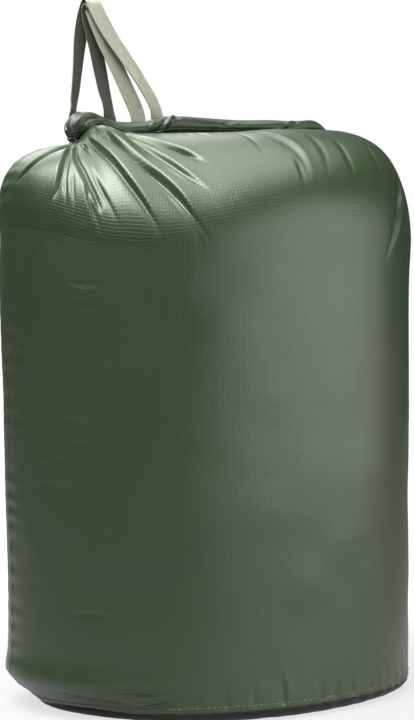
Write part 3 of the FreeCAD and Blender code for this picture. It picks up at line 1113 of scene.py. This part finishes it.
@dataclass
class RolledCollar:
    """The mouth's cloth, rolled up, twisted and turned down into a knot at its left end.

    Attributes:
        cloth: the rolled cloth's finish, whose colour is darker than the panels' as painted shade on the
            roll.
        tape: the finish of the tape inside it.
        line: the roll's middle from the knot's tip to the tail, as x, y, z and radius in mm.
        rim: the height of the knot's front edge over x, in mm.
        twists: diagonal folds across the roll, as x at the top, slant, height and width in mm.
        knot_end: how far right the knot reaches, in mm.
        rim_end: how far right the overhanging rim reaches, in mm.
        thickness: how thick the cloth and the tape are, in metres.
        stations: how many points a layer's mesh has along the roll.
        around: how many it has in one turn round the roll.
        made: the finished layers by key.
    """

    cloth: CoatedRipstop
    tape: WovenWebbing
    line: tuple[tuple[float, float, float, float], ...] = (
        (-99.5, -6.0, 353.0, 1.2), (-99.6, -5.2, 356.0, 3.6), (-98.0, -4.0, 360.0, 6.6),
        (-94.0, -3.0, 363.4, 9.0), (-88.5, -2.4, 365.2, 8.6), (-81.0, -1.4, 365.2, 6.6),
        (-71.0, -0.2, 363.7, 5.6), (-59.5, 0.4, 363.6, 5.7), (-46.9, 0.4, 365.0, 6.1),
        (-30.8, 0.4, 369.2, 6.6), (-10.0, 0.8, 370.3, 5.8), (19.0, 1.2, 371.3, 5.0),
        (39.7, 1.2, 372.3, 5.4), (56.0, 1.4, 373.6, 4.8), (66.0, 1.6, 375.0, 4.2),
        (73.0, 1.8, 375.9, 3.9), (79.0, 2.2, 375.0, 3.0), (84.5, 2.4, 373.2, 1.4),
    )
    rim: tuple[tuple[float, float], ...] = (
        (-99.6, 352.2), (-97.0, 354.8), (-93.8, 358.3), (-90.0, 361.8), (-86.9, 364.0),
        (-82.0, 366.2), (-76.0, 365.6), (-71.0, 364.2), (-61.0, 361.4), (-50.0, 360.0), (-42.0, 356.0),
    )
    twists: tuple[tuple[float, float, float, float], ...] = (
        (-29.5, 1.15, 1.1, 0.9), (-33.0, 1.2, -1.1, 1.8), (-26.0, 1.1, -0.6, 2.2), (-41.0, 1.3, 0.5, 1.4),
        (14.0, 2.2, -0.3, 3.0), (20.0, 2.2, 0.3, 2.0), (57.0, 1.8, 0.5, 1.6), (62.0, 1.6, -0.6, 2.0),
    )
    knot_end: float = -76.0
    rim_end: float = -42.0
    thickness: float = 0.45 * MM
    stations: int = 300
    around: int = 96
    made: dict[str, bpy.types.Object] = field(default_factory=dict)

    def wrap(self, name: str, start: float, turns: float, inset: float, grow: float) -> bpy.types.Object:
        """Builds one layer of the roll as a spiral sheet.

        Args:
            name: the piece's name.
            start: degrees round the roll at which its outer edge lies.
            turns: how many times it goes round.
            inset: how far inside the roll's surface it starts, in mm.
            grow: how far it moves inwards with each turn, in mm.

        Returns:
            The layer.
        """
        line = curve_through(np.array(self.line), self.stations)
        middle, radius = line[:, :3], line[:, 3:]
        along = unit(np.gradient(middle, axis=0))
        # each ring stands on the line, and its own back and top stay towards the sack's
        back = np.cross((0.0, 0.0, 1.0), along)
        back[np.abs(along[:, 2]) > 0.9] = (0.0, 1.0, 0.0)
        back = unit(np.where(back[:, 1:2] < 0, -back, back))
        up = np.cross(along, back)
        up = np.where(up[:, 2:3] < 0, -up, up)
        around = int(self.around * turns)
        angle = math.radians(start) + np.linspace(0, 2 * math.pi * turns, around)
        x = middle[:, :1]
        cover = np.maximum(radius - inset - grow * np.linspace(0, turns, around)[None, :], 0.15)
        height = cover * np.sin(angle)[None, :]
        front = np.clip(-np.cos(angle), 0, 1)[None, :]
        # the roll is slightly oval, and wavy where it is thick
        shape = cover * (1 + 0.05 * np.cos(2 * angle[None, :] - x / 22))
        shape += 0.22 * np.sin(4 * angle[None, :] + x / 13) * smooth((radius - 2) / 3)
        # fine gathers run round the knot
        knot = smooth((self.knot_end - x) / 9)
        ribs = np.cos(7 * angle[None, :] + x / 2.6) + 0.5 * np.cos(13 * angle[None, :] + x / 1.9 + 1)
        shape += 0.26 * knot * ribs * smooth((radius - 2) / 4)
        for top, slant, rise, width in self.twists:
            offset = x - top - slant * (height - cover * 0.9)
            shape += rise * np.exp(-((offset / width) ** 2)) * smooth((cover - 1) / 2) * smooth(front / 0.5)
        # at the front the cloth draws back below the rim, whose edge stands out as a bead
        rim = np.interp(x, *zip(*self.rim))
        under = rim - (middle[:, 2:] + height)
        recess = smooth(under) * smooth((front - 0.02) / 0.2) * smooth((self.rim_end - x) / 8)
        shape *= 1 - 0.25 * recess
        bead = np.exp(-((under / 0.7) ** 2)) * smooth((self.rim_end - 4 - x) / 8) * smooth(front / 0.2)
        shape += 0.45 * bead
        ring = back[:, None] * np.cos(angle)[None, :, None] + up[:, None] * np.sin(angle)[None, :, None]
        points = (middle[:, None] + ring * shape[..., None]).reshape(-1, 3) * MM
        # flat, the cloth runs the roll's length one way and its turns, 5 mm in radius, the other way
        flat = np.stack(np.broadcast_arrays(run_length(middle)[:, None], angle[None, :] * 5.0), -1)
        piece = new_piece(name, points, grid_faces(self.stations, around), flat.reshape(-1, 2) * MM)
        thicken(piece, self.thickness)
        return piece

    def build(self) -> None:
        """Builds the outer and the inner layer and the stiffening tape inside them."""
        self.made["outer"] = self.wrap("collar_outer_wrap", -150, 1.28, 0.0, 0.8)
        self.made["inner"] = self.wrap("collar_inner_wrap", -50, 1.3, 1.1, 0.7)
        self.made["tape"] = self.wrap("collar_hem_tape", 20, 1.2, 2.2, 0.4)

    def dress(self) -> None:
        """Gives the layers their finish, their body and the plain solids that they replace."""
        cloth = self.cloth.build()
        rows = (
            ("outer", cloth, "back_collar", "collar_ripstop"),
            ("inner", cloth, "front_collar", "collar_ripstop"),
            ("tape", self.tape.build(), "hem_tape", "stiffener_tape"),
        )
        for key, material, node, slot in rows:
            piece = self.made[key]
            piece.data.materials.append(material)
            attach(piece, "sack")
            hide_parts(node)
            LOG.info("%s: %d points", piece.name, len(piece.data.vertices))


# --- the webbing loops -----------------------------------------------------------


@dataclass
class WebbingLoop:
    """One flat webbing loop: sewn down behind the collar, folded over at its top.

    Attributes:
        name: the piece's name.
        body: the frame's body that the loop swings with; not used.
        nodes: the plain solids that it replaces.
        path: its middle as x, y and z in mm, and how far it is turned edge-on, in degrees.
        face: the finish of its outer face.
        reverse: the finish of its inner face, darker than the outer face as painted shade on the far legs.
        width: how wide the webbing is in metres.
        thickness: how thick it is in metres.
        crease: how far its middle stands off its edges in metres.
        stations: how many sections its mesh has.
        piece: the finished loop.
    """

    name: str
    body: str
    nodes: tuple[str, ...]
    path: tuple[tuple[float, float, float, float], ...]
    face: bpy.types.Material
    reverse: bpy.types.Material
    width: float = 10 * MM
    thickness: float = 1.0 * MM
    crease: float = 0.35 * MM
    stations: int = 220
    piece: bpy.types.Object | None = None

    def build(self) -> None:
        """Sweeps the webbing's rounded flat section along the path."""
        line = curve_through(np.array(self.path), self.stations)
        middle = line[:, :3] * MM
        along = unit(np.gradient(middle, axis=0))
        # untwisted, the webbing's width lies along the sack's own
        wide = unit(np.array((1.0, 0.0, 0.0)) - along * along[:, :1])
        flat = np.cross(wide, along)
        turn = np.radians(line[:, 3])[:, None]
        wide, flat = wide * np.cos(turn) + flat * np.sin(turn), flat * np.cos(turn) - wide * np.sin(turn)
        # the section, from edge to edge: a shallow dish with rounded edges
        places = np.array([-1, -0.97, -0.86, -0.5, 0, 0.5, 0.86, 0.97, 1])
        dish = self.crease * (1 - np.abs(places))
        edge = self.thickness / 2 * np.array([0.35, 0.8, 1, 1, 1, 1, 1, 0.8, 0.35])
        outer = np.stack([places * self.width / 2, dish + edge], -1)
        inner = np.stack([places * self.width / 2, dish - edge], -1)
        section = np.vstack([outer, inner[::-1]])
        points = middle[:, None] + wide[:, None] * section[:, :1] + flat[:, None] * section[:, 1:]
        cloth = np.stack(np.broadcast_arrays(section[None, :, 0], run_length(middle)[:, None]), -1)
        count = len(section)
        faces = capped_tube(self.stations, count)
        self.piece = new_piece(self.name, points.reshape(-1, 3), faces, cloth.reshape(-1, 2))
        self.piece.data.materials.append(self.face)
        self.piece.data.materials.append(self.reverse)
        # each ring's first faces are those of the outer half of the section
        for index, polygon in enumerate(self.piece.data.polygons):
            polygon.material_index = 1 if index % count < len(places) - 1 else 0

    def dress(self, hinge: Vector) -> None:
        """Sets the loop's mesh in place and hides the plain solids that it replaces.

        Args:
            hinge: a point on the line that the loop swings about; not used.
        """
        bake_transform(self.piece)
        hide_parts(*self.nodes)
        LOG.info("%s: %d points", self.piece.name, len(self.piece.data.vertices))


# each loop goes up from its left end, over its top and down to its right end
OUTER_PATH = (
    (-93.2, 8.2, 364.6, 0), (-93.6, 8.3, 370.0, -26), (-93.9, 8.8, 375.9, -52), (-93.3, 9.6, 382.5, -48),
    (-92.2, 10.2, 389.0, -43), (-90.4, 11.4, 402.2, -37), (-89.0, 12.2, 415.3, -26),
    (-87.9, 12.4, 424.0, -17), (-86.2, 12.0, 434.0, -8), (-84.4, 10.8, 442.0, -3),
    (-83.0, 8.4, 446.6, 0), (-81.6, 5.6, 445.0, 0), (-79.4, 4.4, 439.4, 2), (-74.8, 3.7, 430.8, 5),
    (-69.8, 3.4, 422.9, 11), (-64.3, 3.3, 415.6, 17), (-54.8, 3.6, 403.7, 24), (-50.2, 4.2, 397.7, 30),
    (-45.6, 5.2, 391.8, 32), (-41.2, 6.4, 385.8, 30), (-38.0, 7.4, 379.7, 26), (-36.5, 8.1, 373.0, 12),
    (-36.0, 8.2, 364.6, 0),
)
INNER_PATH = (
    (-69.5, 8.2, 364.6, 0), (-69.5, 8.2, 370.0, -12), (-70.0, 8.6, 376.5, -29), (-71.4, 9.2, 384.0, -28),
    (-73.0, 9.5, 390.3, -21), (-75.5, 10.0, 403.1, -13), (-78.2, 10.0, 415.8, -11),
    (-80.4, 9.9, 424.6, -9), (-82.4, 9.6, 433.0, -6), (-83.6, 8.8, 439.4, -3), (-83.2, 7.6, 442.2, 0),
    (-82.0, 6.7, 440.4, 0), (-79.4, 6.3, 433.0, 3), (-75.4, 6.1, 423.4, 6), (-71.5, 6.1, 415.6, 8),
    (-64.6, 6.2, 403.3, 5), (-58.2, 6.7, 391.0, 3), (-54.8, 7.1, 384.8, 2), (-51.2, 7.8, 377.6, 2),
    (-49.6, 8.2, 371.0, 0), (-49.5, 8.2, 364.6, 0),
)


@dataclass
class BarTacks:
    """Dense zigzag bars that hold the webbing's ends down.

    Attributes:
        thread: the thread's finish.
        feet: where the webbing's ends are, as x in metres.
        width: how wide a bar is in metres.
        turns: how many times its thread turns back.
        radius: the thread's radius in metres.
        piece: the finished bars.
    """

    thread: SpunThread
    feet: tuple[float, ...]
    width: float = 7 * MM
    turns: int = 46
    radius: float = 0.22 * MM
    piece: bpy.types.Object | None = None

    def build(self) -> None:
        """Lays one zigzag thread across each end."""
        low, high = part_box("bar_tacks")
        lines = []
        for foot in self.feet:
            x = foot - self.width / 2 + self.width * np.linspace(0, 1, self.turns)
            z = np.where(np.arange(self.turns) % 2 == 0, low[2], high[2])
            # the thread lies just under the front of its plain solid
            y = np.full(self.turns, low[1] + 0.35 * MM)
            lines.append(np.stack([x, y, z], -1))
        self.piece = new_piece("bar_tack_threads", *thread_mesh(lines, self.radius))

    def dress(self) -> None:
        """Gives the tacks their finish and body."""
        self.piece.data.materials.append(self.thread.build())
        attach(self.piece, "sack")
        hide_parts("bar_tacks")
        LOG.info("%s: %d points", self.piece.name, len(self.piece.data.vertices))


# --- floor, light and camera -----------------------------------------------------


@dataclass
class Studio:
    """A pale floor, soft lamps and a level camera at the front left.

    Attributes:
        azimuth: degrees from the front to the camera, negative to the left.
        distance: metres from the sack's axis to the camera.
        eye_height: how high the camera is in metres.
        lens: its focal length in mm.
        shift: how far its lens is shifted right and up, as shares of the picture's longer side.
        hot_centre: how far the bright middle of a soft box reaches, as a share of its sides.
        dark_rim: how far out it has died away, as a share of its sides.
        floor_size: metres from the sack to the floor's edge.
    """

    azimuth: float = -24.0
    distance: float = 1.0
    eye_height: float = 0.210
    lens: float = 76.0
    shift: tuple[float, float] = (-0.009028, 0.013889)
    hot_centre: float = 0.1
    dark_rim: float = 0.52
    floor_size: float = 6.0

    def floor(self) -> None:
        """Makes the floor, which keeps the sack's soft shadow and runs out to white."""
        size = self.floor_size
        corners = [(-size, -size, 0), (size, -size, 0), (size, size, 0), (-size, size, 0)]
        # the paper lies a hair below the sack, so that their faces don't meet
        floor = new_piece("studio_floor", np.array(corners) - (0, 0, 0.1 * MM), [(0, 1, 2, 3)])
        material, tree, shader = new_material("matt_white_paper")
        path = add_node(tree, "ShaderNodeLightPath")
        space = add_node(tree, "ShaderNodeTexCoord")
        reach = add_node(tree, "ShaderNodeVectorMath", {}, {0: space.outputs["Object"]}, operation="LENGTH")
        # the paper keeps the shadow near the sack, and runs out to plain white behind it
        fade = add_node(tree, "ShaderNodeMapRange",
                        {"From Min": 0.16, "From Max": 0.6, "To Min": 0.72, "To Max": 1.0},
                        {"Value": reach.outputs["Value"]}, interpolation_type="SMOOTHSTEP")
        # the paper near the sack glows for glossy rays only, most strongly close to it: a painted
        # reflection that brightens the cloth's lower faces
        close = add_node(tree, "ShaderNodeMapRange",
                         {"From Min": 0.18, "From Max": 0.55, "To Min": 0.36, "To Max": 0.15},
                         {"Value": reach.outputs["Value"]}, interpolation_type="SMOOTHSTEP")
        painted_reflection_glow = add_node(tree, "ShaderNodeMath", {}, {0: path.outputs["Is Glossy Ray"],
                                                         1: close.outputs[0]}, operation="MULTIPLY")
        glow = add_node(tree, "ShaderNodeMath", {}, {0: path.outputs["Is Camera Ray"], 1: fade.outputs[0],
                                                     2: painted_reflection_glow.outputs[0]}, operation="MULTIPLY_ADD")
        set_inputs(shader, {"Base Color": linear("6c6c6a"), "Roughness": 0.9,
                            "Emission Color": linear("ffffff")},
                   {"Emission Strength": glow.outputs[0]})
        floor.data.materials.append(material)

    def world(self) -> None:
        """Lights the room evenly, and shows white to the camera."""
        world = bpy.data.worlds.new("studio_room")
        bpy.context.scene.world = world
        world.use_nodes = True
        tree = world.node_tree
        room = tree.nodes["Background"]
        set_inputs(room, {"Color": linear("dfe4e2"), "Strength": 0.06})
        white = add_node(tree, "ShaderNodeBackground", {"Color": linear("ffffff"), "Strength": 1.0})
        path = add_node(tree, "ShaderNodeLightPath")
        both = add_node(tree, "ShaderNodeMixShader", {}, {0: path.outputs["Is Camera Ray"],
                                                          1: room.outputs[0], 2: white.outputs[0]})
        set_inputs(tree.nodes["World Output"], {}, {"Surface": both.outputs[0]})

    def lamp(self, name: str, azimuth: float, elevation: float, distance: float,
             size: tuple[float, float], power: float, aim: float) -> None:
        """Hangs one soft box.

        Args:
            name: the lamp's name.
            azimuth: degrees round from the front, positive to the right.
            elevation: degrees above the floor.
            distance: metres from the sack's axis.
            size: width and height in metres.
            power: watts.
            aim: height on the sack's axis that it points at, in metres.
        """
        light = bpy.data.lights.new(name, "AREA")
        light.shape = "RECTANGLE"
        light.size, light.size_y = size
        light.energy = power
        # the box is brightest in the middle and dies away softly to its rim
        light.use_nodes = True
        tree = light.node_tree
        place = add_node(tree, "ShaderNodeNewGeometry")
        reach = add_node(tree, "ShaderNodeVectorMath", {1: (0.5, 0.5, 0.0)},
                         {0: place.outputs["Parametric"]}, operation="DISTANCE")
        fade = add_node(tree, "ShaderNodeMapRange",
                        {"From Min": self.hot_centre, "From Max": self.dark_rim,
                         "To Min": 1.0, "To Max": 0.0},
                        {"Value": reach.outputs["Value"]}, interpolation_type="SMOOTHSTEP")
        set_inputs(tree.nodes["Emission"], {}, {"Strength": fade.outputs["Result"]})
        lamp = bpy.data.objects.new(name, light)
        # it hangs at its bearing and faces the point that it is aimed at
        a, e = math.radians(azimuth), math.radians(elevation)
        offset = Vector((math.sin(a) * math.cos(e), -math.cos(a) * math.cos(e), math.sin(e))) * distance
        lamp.location = Vector((0, 0, aim)) + offset
        lamp.rotation_euler = (-offset).to_track_quat("-Z", "Y").to_euler()
        bpy.context.scene.collection.objects.link(lamp)

    def camera(self) -> None:
        """Sets the camera level, with its lens shifted a little to frame the sack."""
        data = bpy.data.cameras.new("camera")
        data.lens = self.lens
        data.shift_x, data.shift_y = self.shift
        camera = bpy.data.objects.new("camera", data)
        a = math.radians(self.azimuth)
        camera.location = (math.sin(a) * self.distance, -math.cos(a) * self.distance, self.eye_height)
        camera.rotation_euler = (math.pi / 2, 0, a)
        bpy.context.scene.collection.objects.link(camera)
        bpy.context.scene.camera = camera

    def build(self) -> None:
        """Builds the floor, the world, the lamps and the camera."""
        self.floor()
        self.world()
        self.lamp("large_soft_box_right", 41, 0, 1.3, (3.3, 2.4), 50, 0.18)
        self.lamp("overhead_soft_box", 60, 86, 1.2, (2.3, 2.1), 36, 0.30)
        self.lamp("high_soft_box_left", -69, 57, 1.25, (2.1, 1.2), 82, 0.30)
        self.lamp("high_soft_box_back", -176, 42, 1.3, (1.7, 1.0), 18, 0.30)
        self.camera()
        bpy.context.scene.view_settings.view_transform = "Standard"


def main() -> None:
    """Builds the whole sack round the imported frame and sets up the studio."""
    logging.basicConfig(level=logging.INFO, format="%(name)s: %(message)s")
    # the frame says how large the sack is, and the form stays a little inside that
    low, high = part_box("front_panel")
    form = SackForm(half_width=high[0] - 1.5 * MM, half_depth=-low[1] - 1.0 * MM,
                    seam_height=low[2], mouth_height=high[2])
    body = SackBody(
        form=form,
        cloth=CoatedRipstop("silicone_ripstop_forest", "2a3c22", "354a2b"),
        # the base's colour is darker than the panels': painted shade under the sack
        base_cloth=CoatedRipstop("silicone_ripstop_base_painted_shade", "1e221b", "262a21", 0.55, 0.25),
        binding=CoatedRipstop("silicone_ripstop_binding", "2a3c22", "354a2b", 0.4),
        wadding=LoftyWadding("spun_wadding", "5d5e5b"),
    )
    collar = RolledCollar(
        # the roll's colour is darker than the panels': painted shade under and round the roll
        cloth=CoatedRipstop("silicone_ripstop_collar_painted_shade", "232d20", "2f3b2a", 0.35, 0.7),
        tape=WovenWebbing("stiffening_tape", "2a2e26", "1e221b"),
    )
    thread = SpunThread("polyester_thread", "9aa08f")
    face = WovenWebbing("webbing_face_sand", "d0d1bd", "a2a38d").build()
    # the inner face is darker than the outer one: painted shade on the legs whose inner face shows
    reverse = WovenWebbing("webbing_reverse_painted_shade", "525340", "36372a").build()
    outer = WebbingLoop("outer_webbing", "outer_strap", ("outer_loop", "outer_loop_ends"),
                        OUTER_PATH, face, reverse)
    inner = WebbingLoop("inner_webbing", "inner_strap", ("inner_loop", "inner_loop_ends"),
                        INNER_PATH, face, reverse)
    stitches = BaseTopstitch(form, thread)
    tacks = BarTacks(thread, tuple(x * MM for x in (-93.0, -69.5, -49.5, -36.0)))
    for part in (body, collar, stitches, tacks):
        part.build()
        part.dress()
    hinge = Vector(frame["joints"][0]["pos_m"])
    for loop in (outer, inner):
        loop.build()
        loop.dress(hinge)
    Studio().build()


if __name__ == "__main__":
    main()
